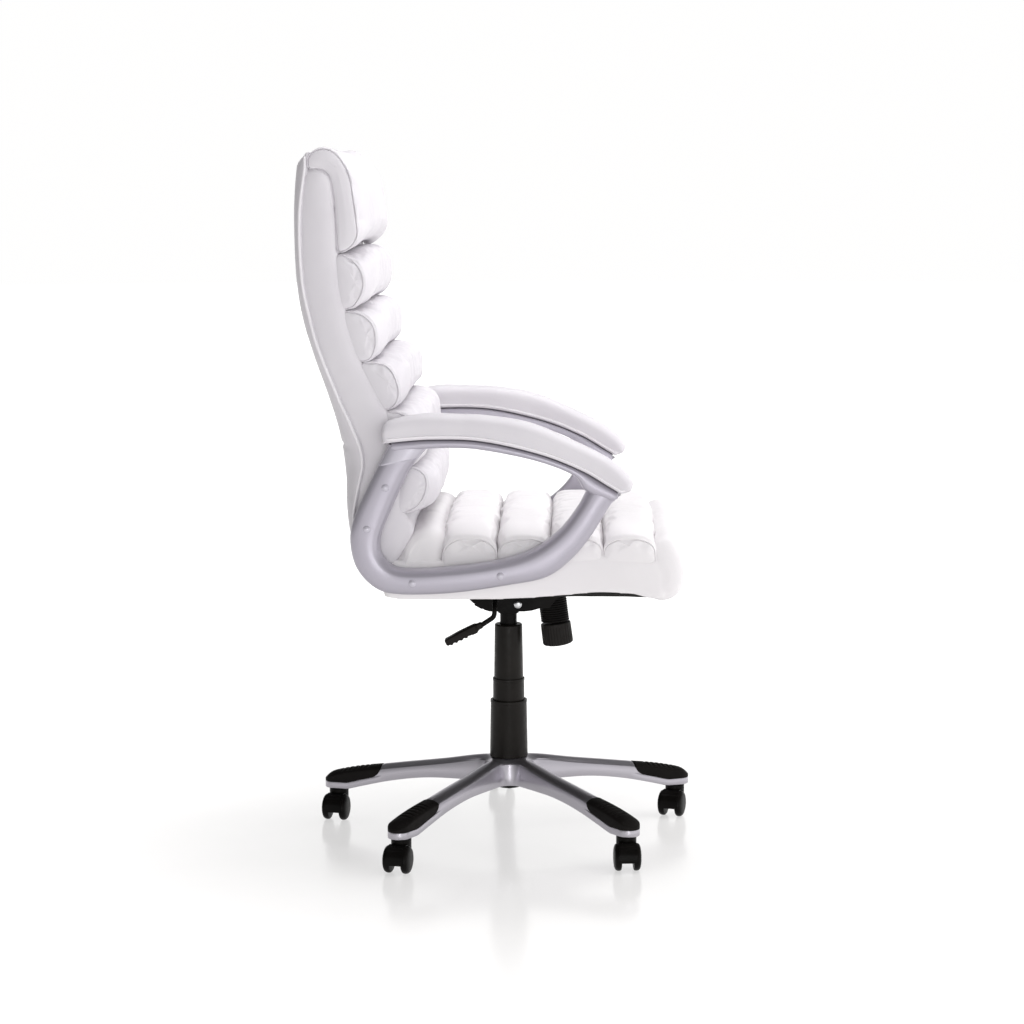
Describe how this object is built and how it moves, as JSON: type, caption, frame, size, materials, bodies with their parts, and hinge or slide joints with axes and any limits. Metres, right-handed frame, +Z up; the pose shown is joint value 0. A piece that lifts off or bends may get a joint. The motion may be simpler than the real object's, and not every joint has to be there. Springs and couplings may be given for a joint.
{
  "type": "swivel office chair",
  "caption": "High-back swivel office chair with padded rolls, looped arms, tilt mechanism, gas lift and a star base on twin-wheel casters.",
  "frame": {"origin": "on the floor, under the middle of the chair's bounding box", "axes": "+Z up, the chair faces -Y, the occupant's right hand is at -X"},
  "size_m": [0.6281, 0.6468, 1.14],
  "materials": {
    "silver_base": "satin",
    "arm_paint": "satin",
    "grip_rubber": "matte",
    "black_plastic": "satin",
    "cover_plastic": "matte",
    "black_metal": "satin",
    "steel": "satin",
    "bush_plastic": "satin",
    "plywood": "matte",
    "lining_fabric": "matte",
    "white_leather": "satin"
  },
  "bodies": {
    "root": {"base_star": "silver_base", "foot_grip_1": "grip_rubber", "foot_grip_2": "grip_rubber", "foot_grip_3": "grip_rubber", "foot_grip_4": "grip_rubber", "foot_grip_5": "grip_rubber", "caster_stem_1": "steel", "caster_stem_2": "steel", "caster_stem_3": "steel", "caster_stem_4": "steel", "caster_stem_5": "steel", "outer_column": "black_metal", "column_bush": "bush_plastic", "thrust_bearing": "steel", "cover_bottom": "cover_plastic"},
    "lift_piston": {"piston_rod": "steel"},
    "lift_cylinder": {"gas_cylinder": "black_metal", "cover_top": "cover_plastic", "mech_housing": "black_metal", "tension_spring": "black_metal"},
    "cover_stage": {"cover_middle": "cover_plastic"},
    "release_pin": {"release_button": "steel"},
    "tilt_lock": {"lock_slider": "steel"},
    "lever": {"lever_rod": "black_metal", "lever_grip": "black_plastic"},
    "seat": {"seat_plate": "black_metal", "tilt_pin": "steel", "tension_bolt": "black_metal", "seat_board": "plywood", "seat_lining": "lining_fabric", "seat_cushion": "white_leather", "back_board": "plywood", "back_cushion": "white_leather", "back_panel": "white_leather", "arm_frame_left": "arm_paint", "arm_frame_right": "arm_paint", "arm_pad_left": "white_leather", "arm_pad_right": "white_leather"},
    "knob": {"tension_knob": "black_plastic"},
    "caster_fork_1": {"caster_hood_1": "black_plastic", "caster_axle_1": "steel"},
    "caster_roll_a_1": {"caster_wheel_a_1": "black_plastic"},
    "caster_roll_b_1": {"caster_wheel_b_1": "black_plastic"},
    "caster_fork_2": {"caster_hood_2": "black_plastic", "caster_axle_2": "steel"},
    "caster_roll_a_2": {"caster_wheel_a_2": "black_plastic"},
    "caster_roll_b_2": {"caster_wheel_b_2": "black_plastic"},
    "caster_fork_3": {"caster_hood_3": "black_plastic", "caster_axle_3": "steel"},
    "caster_roll_a_3": {"caster_wheel_a_3": "black_plastic"},
    "caster_roll_b_3": {"caster_wheel_b_3": "black_plastic"},
    "caster_fork_4": {"caster_hood_4": "black_plastic", "caster_axle_4": "steel"},
    "caster_roll_a_4": {"caster_wheel_a_4": "black_plastic"},
    "caster_roll_b_4": {"caster_wheel_b_4": "black_plastic"},
    "caster_fork_5": {"caster_hood_5": "black_plastic", "caster_axle_5": "steel"},
    "caster_roll_a_5": {"caster_wheel_a_5": "black_plastic"},
    "caster_roll_b_5": {"caster_wheel_b_5": "black_plastic"}
  },
  "joints": [
    {"name": "seat_swivel", "type": "hinge", "parent": "root", "child": "lift_piston", "pos_m": [-0.0139, -0.016, 0.243], "axis": [0, 0, 1], "continuous": true},
    {"name": "seat_lift", "type": "slide", "parent": "lift_piston", "child": "lift_cylinder", "axis": [0, 0, 1], "range_m": [-0.1, 0]},
    {"name": "cover_follow", "type": "slide", "parent": "root", "child": "cover_stage", "axis": [0, 0, 1], "range_m": [-0.03, 0]},
    {"name": "tilt_lock_slide", "type": "slide", "parent": "lift_cylinder", "child": "tilt_lock", "axis": [-1, 0, 0], "range_m": [0, 0.01]},
    {"name": "lever_lift", "type": "hinge", "parent": "tilt_lock", "child": "lever", "pos_m": [-0.1139, 0.002, 0.413], "axis": [1, 0, 0], "range_deg": [0, 8], "stiffness_Nm_per_rad": 0.4, "springref_deg": -17.19},
    {"name": "release_pin_press", "type": "slide", "parent": "lift_cylinder", "child": "release_pin", "axis": [0, 0, 1], "range_m": [-0.0025, 0]},
    {"name": "seat_tilt", "type": "hinge", "parent": "lift_cylinder", "child": "seat", "pos_m": [-0.0139, -0.033, 0.394], "axis": [-1, 0, 0], "range_deg": [0, 12], "stiffness_Nm_per_rad": 80, "springref_deg": -25.78, "deforming": ["tension_spring"]},
    {"name": "tension_knob_turn", "type": "hinge", "parent": "seat", "child": "knob", "pos_m": [-0.0139, -0.0883, 0.405], "axis": [0, 0.1271, 0.9919], "continuous": true},
    {"name": "caster_swivel_1", "type": "hinge", "parent": "root", "child": "caster_fork_1", "pos_m": [0.29062, 0.00103, 0.043], "axis": [0, 0, 1], "continuous": true},
    {"name": "wheel_spin_a_1", "type": "hinge", "parent": "caster_fork_1", "child": "caster_roll_a_1", "pos_m": [0.2729, 0.00415, 0.022], "axis": [-0.1736, -0.9848, 0], "continuous": true},
    {"name": "wheel_spin_b_1", "type": "hinge", "parent": "caster_fork_1", "child": "caster_roll_b_1", "pos_m": [0.2729, 0.00415, 0.022], "axis": [-0.1736, -0.9848, 0], "continuous": true},
    {"name": "caster_swivel_2", "type": "hinge", "parent": "root", "child": "caster_fork_2", "pos_m": [0.06401, 0.27888, 0.043], "axis": [0, 0, 1], "continuous": true},
    {"name": "wheel_spin_a_2", "type": "hinge", "parent": "caster_fork_2", "child": "caster_roll_a_2", "pos_m": [0.0464, 0.28262, 0.022], "axis": [-0.2079, -0.9781, 0], "continuous": true},
    {"name": "wheel_spin_b_2", "type": "hinge", "parent": "caster_fork_2", "child": "caster_roll_b_2", "pos_m": [0.0464, 0.28262, 0.022], "axis": [-0.2079, -0.9781, 0], "continuous": true},
    {"name": "caster_swivel_3", "type": "hinge", "parent": "root", "child": "caster_fork_3", "pos_m": [-0.27027, 0.14922, 0.043], "axis": [0, 0, 1], "continuous": true},
    {"name": "wheel_spin_a_3", "type": "hinge", "parent": "caster_fork_3", "child": "caster_roll_a_3", "pos_m": [-0.28774, 0.15358, 0.022], "axis": [-0.2419, -0.9703, 0], "continuous": true},
    {"name": "wheel_spin_b_3", "type": "hinge", "parent": "caster_fork_3", "child": "caster_roll_b_3", "pos_m": [-0.28774, 0.15358, 0.022], "axis": [-0.2419, -0.9703, 0], "continuous": true},
    {"name": "caster_swivel_4", "type": "hinge", "parent": "root", "child": "caster_fork_4", "pos_m": [-0.25026, -0.20877, 0.043], "axis": [0, 0, 1], "continuous": true},
    {"name": "wheel_spin_a_4", "type": "hinge", "parent": "caster_fork_4", "child": "caster_roll_a_4", "pos_m": [-0.26821, -0.21002, 0.022], "axis": [0.0698, -0.9976, 0], "continuous": true},
    {"name": "wheel_spin_b_4", "type": "hinge", "parent": "caster_fork_4", "child": "caster_roll_b_4", "pos_m": [-0.26821, -0.21002, 0.022], "axis": [0.0698, -0.9976, 0], "continuous": true},
    {"name": "caster_swivel_5", "type": "hinge", "parent": "root", "child": "caster_fork_5", "pos_m": [0.0964, -0.30036, 0.043], "axis": [0, 0, 1], "continuous": true},
    {"name": "wheel_spin_a_5", "type": "hinge", "parent": "caster_fork_5", "child": "caster_roll_a_5", "pos_m": [0.07933, -0.29465, 0.022], "axis": [-0.3173, -0.9483, 0], "continuous": true},
    {"name": "wheel_spin_b_5", "type": "hinge", "parent": "caster_fork_5", "child": "caster_roll_b_5", "pos_m": [0.07933, -0.29465, 0.022], "axis": [-0.3173, -0.9483, 0], "continuous": true}
  ],
  "couplings": [
    {"joint": "cover_follow", "follows": "seat_lift", "ratio": 0.3},
    {"joint": "release_pin_press", "follows": "lever_lift", "m_per_rad": -0.0172}
  ]
}
